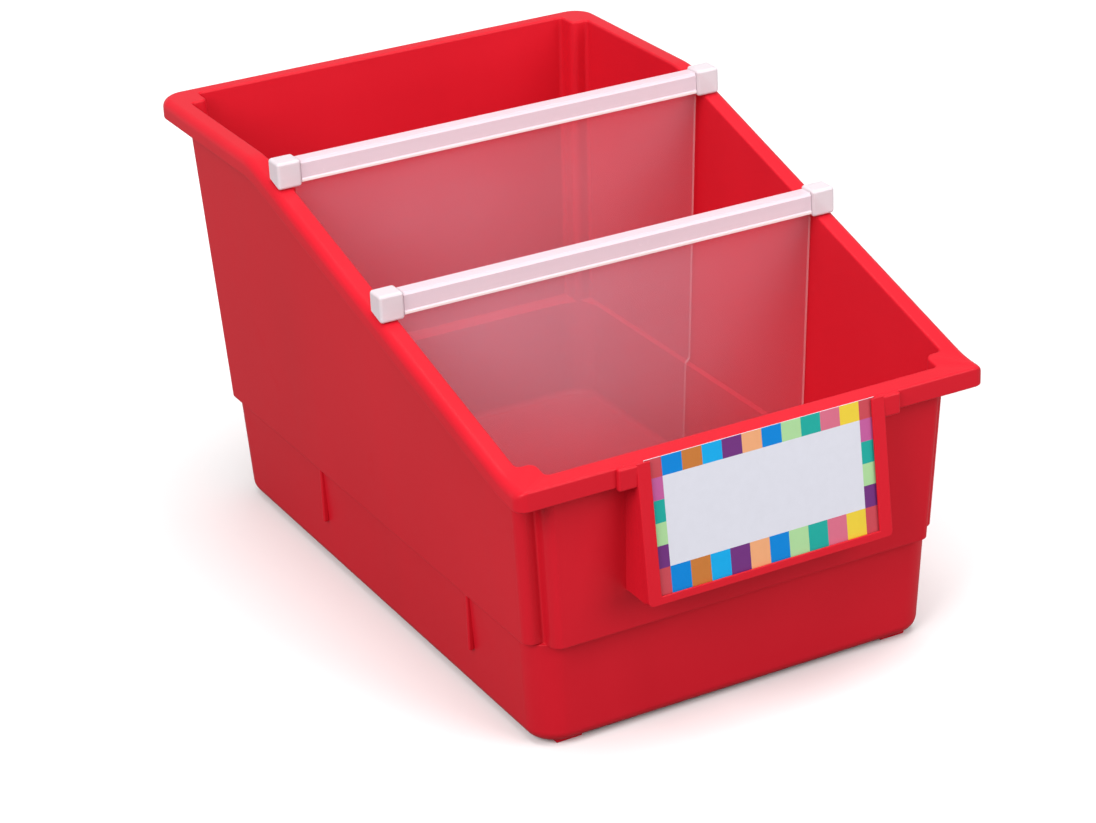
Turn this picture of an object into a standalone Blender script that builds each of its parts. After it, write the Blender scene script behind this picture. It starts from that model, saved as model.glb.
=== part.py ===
"""Art supply bin: an open moulded tub with a raked rim, two lift-out dividers and a label card.

Metres, +Z up. +X runs to the bin's right, the label is on the front, at -Y. The origin is under
the middle of the bin, on the surface it stands on. Run with blender --background --python part.py
"""

import math

import bmesh
import bpy
import numpy as np
from mathutils import Matrix, Vector

# Driving sizes of the tub
OVERALL_LENGTH = 0.3429        # front of the label holder to the back of the rim
OVERALL_WIDTH = 0.22225        # across the rim at the back
BACK_HEIGHT = 0.1915           # rim above the ground at the back
FRONT_HEIGHT = 0.127           # rim above the ground at the front
WALL = 0.0025                  # thickness of the moulding everywhere
DRAFT = 0.05                   # how far each wall leans out for each metre of height
BACK_FLAT = 0.104              # level rim behind the slope
FRONT_FLAT = 0.0115            # level rim in front of the slope
BEND = 0.008                   # half length of the soft bend at each end of the slope

# Rim: a flange that turns out from the walls and ends in a lip that hangs down
OVERHANG = 0.007               # outer wall face to outer lip face
LIP_DROP = 0.0087              # top of the rim to the lower edge of the lip
ROLL = 0.004                   # outer rounding, from flange to lip
RIM_CORNER_FRONT = 0.005       # plan radius of the rim's front corners
RIM_CORNER_BACK = 0.012        # plan radius of the rim's back corners

# Step: the lower body is smaller than the upper one, with round corners
STEP_HEIGHT = 0.0515           # of the step inside; outside it is a wall's thickness lower
STEP_RISE = 0.001              # the step climbs this much as it goes out
STEP_SIDE = 0.0015
STEP_FRONT = 0.005
STEP_BACK = 0.007
LOWER_CORNER = 0.0135          # plan radius inside the lower corners
FLOOR_FILLET = 0.003           # inside radius between the floor and the walls

# Corner pillars: the upper corners are folded in, a pillar inside and a groove outside
PILLAR_SIDE = 0.008            # in from the side walls
PILLAR_FRONT = 0.009           # in from the front wall
PILLAR_BACK = 0.011            # in from the back wall
PILLAR_NOSE = 0.0035           # radius on the pillar
PILLAR_ROOT = 0.0012           # radius where it leaves a wall

# Feet, and ribs on the lower side walls
FOOT_SIZE = (0.012, 0.006)
FOOT_HEIGHT = 0.0015
FOOT_INSET = (0.0065, 0.010)    # foot centre from the outer faces of the lower body
RIB_WIDTH = 0.0016
RIB_PROUD = 0.0013
RIB_HEIGHT = 0.026             # below the step
RIB_FROM_BACK = (0.122, 0.2615)

# Label holder: a pocket for a card in front of the wall, leaning out towards its foot
HOLDER_REACH = 0.0085          # front of the rim to the front of the holder
HOLDER_WIDTH = 0.114
HOLDER_HEIGHT = 0.058          # along the plate
HOLDER_TOP_DROP = 0.002        # top of the plate below the front rim
HOLDER_PLATE = 0.0022
HOLDER_LIP = 0.001             # thickness of what covers the card's edges
LIP_COVER = 0.002              # how far it covers them
LEDGE = 0.0013                 # ledge under the card
CHEEK = 0.0022                 # walls that join the plate to the front wall
EAR_WIDTH = 0.008              # blends the holder into the rim on each side
EAR_HEIGHT = 0.007
EAR_PROUD = 0.001

# Label card
CARD_WIDTH = 0.106
CARD_HEIGHT = 0.0584
CARD_THICKNESS = 0.0005

# Dividers: a clear sheet in a channel rail, with a cap on each end that sits on the rim
DIVIDER_FROM_BACK = {"rear": 0.1242, "front": 0.218}
SHEET_THICKNESS = 0.0015
SHEET_SIDE_CLEARANCE = 0.001   # to the side walls, where the front divider sits
SHEET_FOOT_CLEARANCE = 0.004   # to the inside floor
SHEET_WAIST_CLEARANCE = 0.003  # from the sheet's waist to the step below it
SHEET_WAIST = 0.002            # narrower on each side below the waist, to pass inside the step
SHEET_CORNER = 0.006
SHEET_SHOULDER_DROP = 0.0006   # shoulders of the sheet below the rim
SHEET_TAB_INSET = 0.009        # tab in the rail from the ends of the sheet
RAIL_DEPTH = 0.0085
RAIL_HEIGHT = 0.0095
RAIL_ABOVE_RIM = 0.0008
RAIL_CHAMFER = 0.0012
SLOT_DEPTH = 0.0072
CAP_LENGTH = 0.011
CAP_DEPTH = 0.010
CAP_ABOVE_RAIL = 0.001
CAP_SETBACK = 0.001            # end of the cap from the rim's edge, at the front divider
CAP_ROUND = 0.0015
TONGUE_LENGTH = 0.006          # of the cap, inside the rail's slot

FIT_GAP = 0.0003               # clearance between neighbouring pieces

# Places worked out from the sizes above
FLANGE = OVERHANG + WALL
RIM_BACK = OVERALL_LENGTH / 2
RIM_FRONT = HOLDER_REACH - OVERALL_LENGTH / 2
BEND_BACK = RIM_BACK - BACK_FLAT
BEND_FRONT = RIM_FRONT + FRONT_FLAT
RAKE = (BACK_HEIGHT - FRONT_HEIGHT) / (BEND_BACK - BEND_FRONT)
CHANNEL_DEPTH = CARD_THICKNESS + 2 * FIT_GAP
HOLDER_TILT = math.asin((HOLDER_REACH - CHANNEL_DEPTH - HOLDER_LIP) / HOLDER_HEIGHT)
SLOT_WIDTH = SHEET_THICKNESS + 2 * FIT_GAP
FLOOR_TOP = FOOT_HEIGHT + WALL


def rim_height(y):
    """Height of the rim at y: level, then the slope, then level, with a soft bend between them."""
    def ramp(t):
        return np.where(t > BEND, t, np.clip(t + BEND, 0, None) ** 2 / (4 * BEND))
    return FRONT_HEIGHT + RAKE * (ramp(y - BEND_FRONT) - ramp(y - BEND_BACK))


def inner_side(z):
    """Half the width between the inner faces of the upper side walls at height z."""
    return OVERALL_WIDTH / 2 - FLANGE - DRAFT * (BACK_HEIGHT - z)


def inner_front(z):
    """Y of the inner face of the upper front wall at height z."""
    return RIM_FRONT + FLANGE + DRAFT * (FRONT_HEIGHT - z)


def inner_back(z):
    """Y of the inner face of the upper back wall at height z."""
    return RIM_BACK - FLANGE - DRAFT * (BACK_HEIGHT - z)


# Where the dividers stand and how far up the rim they sit
DIVIDER_Y = {name: RIM_BACK - back for name, back in DIVIDER_FROM_BACK.items()}
LOW_RIM = float(rim_height(DIVIDER_Y["front"]))
SHEET_HALF = inner_side(LOW_RIM) - SHEET_SIDE_CLEARANCE
CAP_END = OVERALL_WIDTH / 2 - DRAFT * (BACK_HEIGHT - LOW_RIM) - CAP_SETBACK


def collection(name):
    """A new collection in the scene."""
    made = bpy.data.collections.new(name)
    bpy.context.scene.collection.children.link(made)
    return made


def material(name, colour, roughness, alpha=1.0):
    """A plastic or paper look; alpha below 1 is for the clear pieces."""
    made = bpy.data.materials.new(name)
    made.use_nodes = True
    shader = made.node_tree.nodes["Principled BSDF"]
    shader.inputs["Base Color"].default_value = (*colour, 1)
    shader.inputs["Roughness"].default_value = roughness
    shader.inputs["Metallic"].default_value = 0
    shader.inputs["Alpha"].default_value = alpha
    return made


def from_bmesh(name, made, group):
    """An object in a collection, from a bmesh that is used up."""
    bmesh.ops.recalc_face_normals(made, faces=made.faces)
    mesh = bpy.data.meshes.new(name)
    made.to_mesh(mesh)
    made.free()
    piece = bpy.data.objects.new(name, mesh)
    group.objects.link(piece)
    return piece


def block(name, low, high, group, place=Matrix.Identity(4)):
    """A box between two corners, in the axes that place carries into the world."""
    low, high = Vector(low), Vector(high)
    made = bmesh.new()
    bmesh.ops.create_cube(made, size=1, matrix=Matrix.Diagonal((*(high - low), 1)))
    made.transform(place @ Matrix.Translation((low + high) / 2))
    return from_bmesh(name, made, group)


def prism(name, outline, thickness, place, group):
    """A flat outline given a thickness, half to each side, in the axes that place carries over."""
    made = bmesh.new()
    face = made.faces.new([made.verts.new((u, v, -thickness / 2)) for u, v in outline])
    grown = bmesh.ops.extrude_face_region(made, geom=[face])["geom"]
    raised = [item for item in grown if isinstance(item, bmesh.types.BMVert)]
    bmesh.ops.translate(made, verts=raised, vec=(0, 0, thickness))
    made.transform(place)
    return from_bmesh(name, made, group)


def combine(piece, tool, operation="UNION"):
    """Join a tool to a piece, or cut it away, and keep the tool as a wire guide."""
    step = piece.modifiers.new(tool.name, "BOOLEAN")
    step.operation = operation
    step.solver = "EXACT"
    step.object = tool
    tool.hide_render = True
    tool.display_type = "WIRE"


def finish(piece, look, angle=35):
    """Give a piece its material and shade its round faces smooth."""
    piece.data.materials.clear()
    piece.data.materials.append(look)
    piece.data.shade_smooth()
    piece.data.set_sharp_from_angle(angle=math.radians(angle))
    return piece


# The tub is lofted from closed outlines with the same number of points. Around each corner an
# outline is drawn as distances in from the side wall and in from the end wall.
CORNER_POINTS = 10


def round_corner(radius, along=()):
    """A rounded corner. along adds points on the side wall, at distances in from the end wall."""
    turn = np.linspace(0, math.pi / 2, CORNER_POINTS - len(along))
    side = np.concatenate([np.zeros(len(along)), radius * (1 - np.cos(turn))])
    end = np.concatenate([np.array(along), radius * (1 - np.sin(turn))])
    return side, end


def pillar_corner(depth):
    """A corner folded in to a pillar that is PILLAR_SIDE by depth in plan."""
    root = np.linspace(0, math.pi / 2, 3)
    nose = np.linspace(0, math.pi / 2, 4)
    side = np.concatenate([
        PILLAR_ROOT * (1 - np.cos(root)),
        PILLAR_SIDE - PILLAR_NOSE * (1 - np.sin(nose)),
        PILLAR_SIDE + PILLAR_ROOT * (1 - np.cos(root))])
    end = np.concatenate([
        depth + PILLAR_ROOT * (1 - np.sin(root)),
        depth - PILLAR_NOSE * (1 - np.cos(nose)),
        PILLAR_ROOT * (1 - np.sin(root))])
    return side, end


# Places along the sides where the rim needs points for its bends, and along the front walls
BEND_POINTS = np.array([-1, -0.5, 0, 0.5, 1]) * BEND
STATIONS = BEND_BACK + BEND_POINTS
FRONT_BEND_POINTS = tuple(FRONT_FLAT + BEND_POINTS[:0:-1])


def ring(height, corners, side=0.0, front=0.0, back=0.0, drop=0.0, on_rim=False):
    """One closed outline of the tub, as an array of points.

    height is a height, or a function of y. The outline stands on the upper walls' inner faces at
    that height, moved in by side, front and back, and is then lowered by drop.
    """
    level = height if callable(height) else lambda y: np.full_like(y, height)
    end_front = inner_front(float(level(np.array(RIM_FRONT)))) + front
    end_back = inner_back(float(level(np.array(RIM_BACK)))) - back
    front_side, front_end = corners[0]
    back_side, back_end = corners[1]
    start = end_front + front_end[0]
    stop = end_back - back_end[0]
    if on_rim:
        stations = STATIONS
    else:
        low, high = inner_front(FRONT_HEIGHT), inner_back(BACK_HEIGHT)
        stations = start + (STATIONS - low) / (high - low) * (stop - start)
    y = np.concatenate([end_front + front_end[::-1], stations, end_back - back_end])
    inwards = side + np.concatenate([front_side[::-1], np.zeros(len(stations)), back_side])
    z = level(y)
    x = inner_side(z) - inwards
    right = np.stack([x, y, z - drop], axis=1)
    left = right[::-1] * (-1, 1, 1)
    return np.concatenate([right, left])


def tub_rows():
    """The outlines of the tub's inner and upper skin, from the floor out to the edge of the lip."""
    rows = []
    for turn in np.linspace(0, math.pi / 2, 4):
        inset = FLOOR_FILLET * (1 - math.sin(turn))
        corner = round_corner(LOWER_CORNER - inset)
        rows.append(ring(FLOOR_TOP + FLOOR_FILLET * (1 - math.cos(turn)), (corner, corner),
                         STEP_SIDE + inset, STEP_FRONT + inset, STEP_BACK + inset))
    corner = round_corner(LOWER_CORNER)
    rows.append(ring(STEP_HEIGHT, (corner, corner), STEP_SIDE, STEP_FRONT, STEP_BACK))
    pillars = pillar_corner(PILLAR_FRONT), pillar_corner(PILLAR_BACK)
    rows.append(ring(STEP_HEIGHT + STEP_RISE, pillars))
    rows.append(ring(rim_height, pillars, on_rim=True))
    for turn in np.linspace(0, math.pi / 2, 4):
        out = FLANGE - ROLL * (1 - math.sin(turn))
        inset = FLANGE - out
        rims = (round_corner(RIM_CORNER_FRONT - inset, FRONT_BEND_POINTS[:3]),
                round_corner(RIM_CORNER_BACK - inset))
        rows.append(ring(rim_height, rims, -out, -out, -out, ROLL * (1 - math.cos(turn)), True))
    rims = round_corner(RIM_CORNER_FRONT, FRONT_BEND_POINTS[:3]), round_corner(RIM_CORNER_BACK)
    rows.append(ring(rim_height, rims, -FLANGE, -FLANGE, -FLANGE, LIP_DROP, True))
    return rows


def build_tub(group, cutters, look):
    """The moulded tub: skin given its thickness, then feet, ribs and the label holder."""
    rows = tub_rows()
    made = bmesh.new()
    loops = [[made.verts.new(point) for point in row] for row in rows]
    count = len(rows[0])
    made.faces.new(loops[0])
    for lower, upper in zip(loops, loops[1:]):
        for i in range(count):
            j = (i + 1) % count
            made.faces.new((lower[i], lower[j], upper[j], upper[i]))
    mesh = bpy.data.meshes.new("tub")
    bmesh.ops.recalc_face_normals(made, faces=made.faces)
    if sum(face.normal.z * face.calc_area() for face in made.faces) < 0:
        bmesh.ops.reverse_faces(made, faces=made.faces)
    made.to_mesh(mesh)
    made.free()
    tub = bpy.data.objects.new("tub", mesh)
    group.objects.link(tub)
    shell = tub.modifiers.new("moulding", "SOLIDIFY")
    shell.thickness = WALL
    shell.offset = -1
    shell.use_even_offset = True
    shell.use_quality_normals = True

    # Lower body's outer faces, for what stands on them
    ground = FOOT_HEIGHT
    low_side = inner_side(ground) - STEP_SIDE + WALL
    low_front = inner_front(ground) + STEP_FRONT - WALL
    low_back = inner_back(ground) - STEP_BACK + WALL
    for side, across in (("left", -1), ("right", 1)):
        for end, y in (("front", low_front + FOOT_INSET[1]), ("back", low_back - FOOT_INSET[1])):
            centre = Vector((across * (low_side - FOOT_INSET[0]), y, 0))
            half = Vector((FOOT_SIZE[0] / 2, FOOT_SIZE[1] / 2, 0))
            top = Vector((0, 0, FOOT_HEIGHT + WALL / 2))
            combine(tub, block(f"foot_{end}_{side}", centre - half, centre + half + top, cutters))
        for i, back in enumerate(RIB_FROM_BACK):
            face = inner_side(STEP_HEIGHT) - STEP_SIDE + WALL
            xs = sorted((across * (face - WALL * 0.6), across * (face + RIB_PROUD)))
            low = (xs[0], RIM_BACK - back - RIB_WIDTH / 2, STEP_HEIGHT - WALL - RIB_HEIGHT)
            high = (xs[1], RIM_BACK - back + RIB_WIDTH / 2, STEP_HEIGHT - WALL / 2)
            combine(tub, block(f"rib_{side}_{i}", low, high, cutters))
    add_holder(tub, cutters)
    return finish(tub, look)


def holder_axes():
    """Axes of the label holder: X across, Y up the plate from its foot, Z out of its face."""
    up = Vector((0, math.sin(HOLDER_TILT), math.cos(HOLDER_TILT)))
    out = Vector((0, -math.cos(HOLDER_TILT), math.sin(HOLDER_TILT)))
    foot = Vector((0, RIM_FRONT, FRONT_HEIGHT - HOLDER_TOP_DROP)) - up * HOLDER_HEIGHT
    return Matrix((
        (1, 0, 0, foot.x),
        (0, up.y, out.y, foot.y),
        (0, up.z, out.z, foot.z),
        (0, 0, 0, 1)))


def add_holder(tub, cutters):
    """The plate, its cheeks back to the wall, the ears at the rim, and the pocket for the card."""
    axes = holder_axes()
    half = HOLDER_WIDTH / 2
    front = CHANNEL_DEPTH + HOLDER_LIP
    plate = block("holder_plate", (-half, 0, -HOLDER_PLATE), (half, HOLDER_HEIGHT, front), cutters, axes)
    combine(tub, plate)
    ear_top = FRONT_HEIGHT - HOLDER_TOP_DROP
    combine(tub, block("holder_ears",
                       (-half - EAR_WIDTH, RIM_FRONT - EAR_PROUD, ear_top - EAR_HEIGHT),
                       (half + EAR_WIDTH, RIM_FRONT + WALL / 2, ear_top), cutters))
    foot = axes.translation
    under_flange = FRONT_HEIGHT - WALL / 2
    cheek = [(foot.y + HOLDER_PLATE / 2, foot.z),
             (inner_front(foot.z) - WALL / 2, foot.z),
             (inner_front(under_flange) - WALL / 2, under_flange),
             (RIM_FRONT + HOLDER_PLATE / 2, under_flange)]
    across = Matrix(((0, 0, 1, 0), (1, 0, 0, 0), (0, 1, 0, 0), (0, 0, 0, 1)))
    for side, x in (("left", CHEEK / 2 - half), ("right", half - CHEEK / 2)):
        place = Matrix.Translation((x, 0, 0)) @ across
        combine(tub, prism(f"holder_cheek_{side}", cheek, CHEEK, place, cutters))
    pocket = CARD_WIDTH / 2 + FIT_GAP
    window = CARD_WIDTH / 2 - LIP_COVER
    beyond = HOLDER_HEIGHT + LIP_DROP
    combine(tub, block("card_pocket", (-pocket, LEDGE, 0), (pocket, beyond, CHANNEL_DEPTH), cutters, axes),
            "DIFFERENCE")
    combine(tub, block("card_window", (-window, LEDGE + LIP_COVER, CHANNEL_DEPTH / 2),
                       (window, beyond, front + EAR_PROUD), cutters, axes), "DIFFERENCE")


def build_card(group, look):
    """The label card, standing in its pocket on the ledge."""
    low = (-CARD_WIDTH / 2, LEDGE + FIT_GAP, FIT_GAP)
    high = (CARD_WIDTH / 2, LEDGE + FIT_GAP + CARD_HEIGHT, FIT_GAP + CARD_THICKNESS)
    return finish(block("label_card", low, high, group, holder_axes()), look)


def build_divider(name, group, cutters, looks):
    """One divider in its place: the sheet, the rail that holds it and the two end caps."""
    y = DIVIDER_Y[name]
    rim = float(rim_height(y))
    rail_low = rim + RAIL_ABOVE_RIM
    rail_top = rail_low + RAIL_HEIGHT
    slot_top = rail_low + SLOT_DEPTH
    cap_inner = CAP_END - CAP_LENGTH
    rail_half = cap_inner - FIT_GAP

    # Sheet: follows the walls' draft, has a waist above the step and round corners at the foot,
    # and a narrower tab in the rail
    shoulder = rim - SHEET_SHOULDER_DROP
    foot = FLOOR_TOP + SHEET_FOOT_CLEARANCE
    waist = STEP_HEIGHT + SHEET_WAIST_CLEARANCE
    tab = SHEET_HALF - SHEET_TAB_INSET
    above, below, narrow = (SHEET_HALF - DRAFT * (shoulder - z) for z in (waist + SHEET_WAIST, waist, foot))
    narrow -= SHEET_WAIST
    turn = np.linspace(0, math.pi / 2, 6)
    right = [(narrow - SHEET_CORNER * (1 - math.sin(t)), foot + SHEET_CORNER * (1 - math.cos(t)))
             for t in turn]
    right += [(below - SHEET_WAIST, waist), (above, waist + SHEET_WAIST)]
    right += [(SHEET_HALF, shoulder), (tab, shoulder), (tab, slot_top - FIT_GAP)]
    outline = right + [(-x, z) for x, z in reversed(right)]
    facing = Matrix(((1, 0, 0, 0), (0, 0, -1, y), (0, 1, 0, 0), (0, 0, 0, 1)))
    sheet = prism(f"{name}_divider_sheet", outline, SHEET_THICKNESS, facing, group)
    finish(sheet, looks["sheet"])

    # Rail: a channel, open below
    half, slot = RAIL_DEPTH / 2, SLOT_WIDTH / 2
    section = [(slot, rail_low), (half, rail_low), (half, rail_top - RAIL_CHAMFER),
               (half - RAIL_CHAMFER, rail_top), (RAIL_CHAMFER - half, rail_top),
               (-half, rail_top - RAIL_CHAMFER), (-half, rail_low), (-slot, rail_low),
               (-slot, slot_top), (slot, slot_top)]
    along = Matrix(((0, 0, 1, 0), (1, 0, 0, y), (0, 1, 0, 0), (0, 0, 0, 1)))
    rail = prism(f"{name}_divider_rail", section, 2 * rail_half, along, group)
    finish(rail, looks["rail"])

    # End caps: each stands on the rim, follows its slope and has a tongue in the rail's slot
    half = CAP_DEPTH / 2
    profile = [(-half, float(rim_height(y - half)) + FIT_GAP),
               (half, float(rim_height(y + half)) + FIT_GAP),
               (half, rail_top + CAP_ABOVE_RAIL), (-half, rail_top + CAP_ABOVE_RAIL)]
    for side, across in (("left", -1), ("right", 1)):
        middle = Matrix.Translation((across * (CAP_END - CAP_LENGTH / 2), 0, 0))
        cap = prism(f"{name}_{side}_end_cap", profile, CAP_LENGTH, middle @ along, group)
        rounding = cap.modifiers.new("rounded", "BEVEL")
        rounding.width = CAP_ROUND
        rounding.segments = 3
        rounding.limit_method = "ANGLE"
        xs = sorted((across * (cap_inner - TONGUE_LENGTH), across * (cap_inner + CAP_LENGTH / 2)))
        thick = SLOT_WIDTH / 2 - FIT_GAP
        tongue = block(f"{name}_{side}_tongue",
                       (xs[0], y - thick, rail_low + FIT_GAP), (xs[1], y + thick, slot_top - FIT_GAP),
                       cutters)
        combine(cap, tongue)
        finish(cap, looks["cap"])


for old in list(bpy.data.objects):
    bpy.data.objects.remove(old, do_unlink=True)

parts = collection("art_supply_bin")
guides = collection("guides")
red = material("red_plastic", (0.52, 0.012, 0.022), 0.38)
build_tub(parts, guides, red)
build_card(parts, material("printed_card", (0.80, 0.79, 0.76), 0.55))
clear = {
    "sheet": material("clear_sheet", (0.86, 0.86, 0.86), 0.22, 0.35),
    "rail": material("clear_rail", (0.84, 0.83, 0.83), 0.30, 0.6),
    "cap": material("clear_cap", (0.82, 0.81, 0.81), 0.35, 0.75),
}
for place in DIVIDER_FROM_BACK:
    build_divider(place, parts, guides, clear)
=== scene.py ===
"""Art supply bin: a moulded tub with a raked rim, two clear lift-out dividers and a label card.

Metres, +Z up, and -Y is the bin's front. Each sub-assembly is a class that holds its sizes, works
its surfaces out as numpy arrays and dresses them. The tub is one closed loft of contours, from the
inside floor over the rim to the underside. Most other pieces are an outline with rounded corners
carried along a straight line, with its two ends rounded as well.
"""

from __future__ import annotations

import logging
import math
from dataclasses import dataclass, field
from enum import Enum
from typing import Callable, Sequence

import bpy
import numpy as np
from bpy.types import Material, Node, NodeSocket, NodeTree, Object
from mathutils import Matrix, Vector


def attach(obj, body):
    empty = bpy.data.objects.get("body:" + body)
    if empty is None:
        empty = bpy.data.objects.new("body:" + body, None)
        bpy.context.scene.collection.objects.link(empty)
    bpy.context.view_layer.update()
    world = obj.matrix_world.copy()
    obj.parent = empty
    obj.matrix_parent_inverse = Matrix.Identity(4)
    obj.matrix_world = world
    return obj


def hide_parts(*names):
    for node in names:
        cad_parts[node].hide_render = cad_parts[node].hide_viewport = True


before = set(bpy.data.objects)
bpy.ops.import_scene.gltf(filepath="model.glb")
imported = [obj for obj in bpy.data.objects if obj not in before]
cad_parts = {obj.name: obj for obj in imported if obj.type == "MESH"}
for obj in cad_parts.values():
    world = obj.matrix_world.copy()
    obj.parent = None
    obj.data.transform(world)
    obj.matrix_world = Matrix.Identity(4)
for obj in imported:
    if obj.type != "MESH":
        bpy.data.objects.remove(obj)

log = logging.getLogger("supply_bin")

Array = np.ndarray
chain = np.concatenate
Pair = tuple[float, float]
Triple = tuple[float, float, float]
MM = 0.001
PLASTIC_IOR = 1.49
PLAIN_WHITE = (1.0, 1.0, 1.0, 1.0)


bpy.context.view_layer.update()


class Body(Enum):
    """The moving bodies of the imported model."""

    TUB = "tub"
    CARD = "label_card"
    REAR = "rear_divider"
    FRONT = "front_divider"


# ---- Shader building ----


class NodeBoard:
    """Places nodes in one node tree and joins their sockets."""

    def __init__(self, tree: NodeTree) -> None:
        """Take over a tree."""
        self.tree = tree

    def feed(self, node: Node, links: dict) -> None:
        """Give a node's inputs their sockets or plain values.

        Args:
            node: the node.
            links: input name or number to a socket, or to a plain value.
        """
        for name, value in links.items():
            if isinstance(value, NodeSocket):
                self.tree.links.new(value, node.inputs[name])
            else:
                node.inputs[name].default_value = value

    def add(self, kind: str, links: dict | None = None, **values: object) -> Node:
        """Place a node.

        Args:
            kind: the node's type, without "ShaderNode" in front.
            links: input name or number to a socket, or to a plain value.
            values: properties of the node itself.

        Returns:
            The node.
        """
        node = self.tree.nodes.new("ShaderNode" + kind)
        for name, value in values.items():
            setattr(node, name, value)
        self.feed(node, links or {})
        return node

    def plus(self, first: object, second: object) -> NodeSocket:
        """The sum of two sockets or values."""
        return self.add("Math", {0: first, 1: second}, operation="ADD").outputs[0]

    def times(self, first: object, second: object) -> NodeSocket:
        """The product of two sockets or values."""
        return self.add("Math", {0: first, 1: second}, operation="MULTIPLY").outputs[0]

    def less(self, first: object, second: float) -> NodeSocket:
        """A socket less a value."""
        return self.add("Math", {0: first, 1: second}, operation="SUBTRACT").outputs[0]

    def noise(self, point: NodeSocket, scale: object, detail: float,
              **more: float) -> NodeSocket:
        """A noise's value at a point; more names the node's other inputs."""
        links = {"Vector": point, "Scale": scale, "Detail": detail, **more}
        return self.add("TexNoise", links).outputs[0]

    def ramp(self, value: object, low: Pair = (0.0, 1.0), high: Pair = (0.0, 1.0)) -> NodeSocket:
        """Carry a value from the range low to the range high, held at both ends."""
        links = {"Value": value, "From Min": low[0], "From Max": low[1],
                 "To Min": high[0], "To Max": high[1]}
        return self.add("MapRange", links).outputs["Result"]

    def mix(self, share: object, first: Sequence[float],
            second: Sequence[float]) -> NodeSocket:
        """A blend of two colours by a share that changes over the surface."""
        links = {0: share, 6: (*first, 1), 7: (*second, 1)}
        return self.add("Mix", links, data_type="RGBA").outputs[2]

    def relief(self, height: object, strength: float, distance: float) -> NodeSocket:
        """A height turned into a normal by a Bump node."""
        links = {"Height": height, "Strength": strength, "Distance": distance}
        return self.add("Bump", links).outputs["Normal"]


def open_group(name: str, inputs: Sequence[tuple[str, str, object]],
               outputs: Sequence[tuple[str, str]]) -> tuple[NodeBoard, object, object]:
    """Make a node group with named sockets.

    Args:
        name: the group's name.
        inputs: (name, socket type, default) of each input.
        outputs: (name, socket type) of each output.

    Returns:
        The board, the group's input node and its output node.
    """
    tree = bpy.data.node_groups.new(name, "ShaderNodeTree")
    for label, kind, default in inputs:
        socket = tree.interface.new_socket(label, in_out="INPUT", socket_type="NodeSocket" + kind)
        if default is not None:
            socket.default_value = default
    for label, kind in outputs:
        tree.interface.new_socket(label, in_out="OUTPUT", socket_type="NodeSocket" + kind)
    return NodeBoard(tree), tree.nodes.new("NodeGroupInput"), tree.nodes.new("NodeGroupOutput")


def moulding_group() -> NodeTree:
    """Marks of injection moulding.

    A broad noise gives the tone of the melt, a stretched one the flow lines, a fine one the grain
    of the tool's face, and a sparse one the rubbed spots. Height is grain plus a little waviness.

    Returns:
        The group.
    """
    board, given, result = open_group(
        "moulding_marks",
        [("Vector", "Vector", None), ("Grain Scale", "Float", 900.0), ("Flow Scale", "Float", 22.0),
         ("Gloss", "Float", 0.35), ("Gloss Spread", "Float", 0.06)],
        [("Tone", "Float"), ("Roughness", "Float"), ("Height", "Float")])
    point = given.outputs["Vector"]
    tone = board.noise(point, 9.0, 2.0)
    stretch = board.add("Mapping", {"Vector": point, "Scale": (1.0, 1.0, 0.16)}).outputs[0]
    flow = board.noise(stretch, given.outputs["Flow Scale"], 3.0, Distortion=0.6)
    grain = board.noise(point, given.outputs["Grain Scale"], 2.0)
    wave = board.noise(point, 60.0, 1.0)
    rubbed = board.ramp(board.noise(point, 34.0, 6.0, Roughness=0.7), (0.60, 0.74))
    melt = board.plus(board.times(tone, 0.55), board.times(flow, 0.45))
    swing = board.times(board.less(flow, 0.5), given.outputs["Gloss Spread"])
    rough = board.plus(given.outputs["Gloss"], board.times(swing, 2.0))
    board.feed(result, {
        "Tone": board.ramp(melt, (0.3, 0.7)),
        "Roughness": board.plus(rough, board.times(rubbed, 0.05)),
        "Height": board.plus(board.times(grain, 0.35), wave)})
    return board.tree


def haze_group() -> NodeTree:
    """Haze in clear plastic.

    A broad noise makes clouds, one stretched along X makes the drawing lines of extruded sheet, and
    a thresholded fine noise makes dust and hairline scuffs. A soft round patch, seen square on to
    the sheet, is a painted highlight: a broad soft reflection painted in as extra haze. The four
    add up to the haze.

    Returns:
        The group.
    """
    board, given, result = open_group(
        "plastic_haze",
        [("Vector", "Vector", None), ("Haze", "Float", 0.3), ("Clouds", "Float", 0.05),
         ("Lines", "Float", 0.03), ("Scuffs", "Float", 0.1), ("Painted Highlight", "Float", 0.0)],
        [("Haze", "Float"), ("Height", "Float")])
    point, haze = given.outputs["Vector"], given.outputs["Haze"]
    # Painted highlight: a soft round patch of extra haze, strongest at its centre, stands in for a
    # reflection.
    facing = board.add("VectorMath", {0: point, 1: (1.0, 0.0, 1.0)}, operation="MULTIPLY")
    away = board.add("VectorMath", {0: facing.outputs[0], 1: (-0.02, 0.0, 0.115)},
                     operation="DISTANCE").outputs["Value"]
    patch = board.add("MapRange", {"Value": away, "From Max": 0.12, "To Min": 1.0, "To Max": 0.0},
                      interpolation_type="SMOOTHSTEP").outputs[0]
    clouds = board.noise(point, 11.0, 2.0)
    drawn = board.add("Mapping", {"Vector": point, "Scale": (0.06, 1.0, 1.0)}).outputs[0]
    lines = board.noise(drawn, 420.0, 2.0)
    scuff = board.ramp(board.noise(point, 160.0, 5.0, Roughness=0.75), (0.62, 0.78))
    for value, share, centre in ((clouds, "Clouds", 0.5), (lines, "Lines", 0.5),
                                 (scuff, "Scuffs", 0.0), (patch, "Painted Highlight", 0.0)):
        swing = board.less(value, centre)
        haze = board.plus(haze, board.times(swing, given.outputs[share]))
    # The haze put out carries the painted highlight as well as the plastic's own haze.
    board.feed(result, {"Haze": board.ramp(haze),
                        "Height": board.plus(lines, clouds)})
    return board.tree


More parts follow.
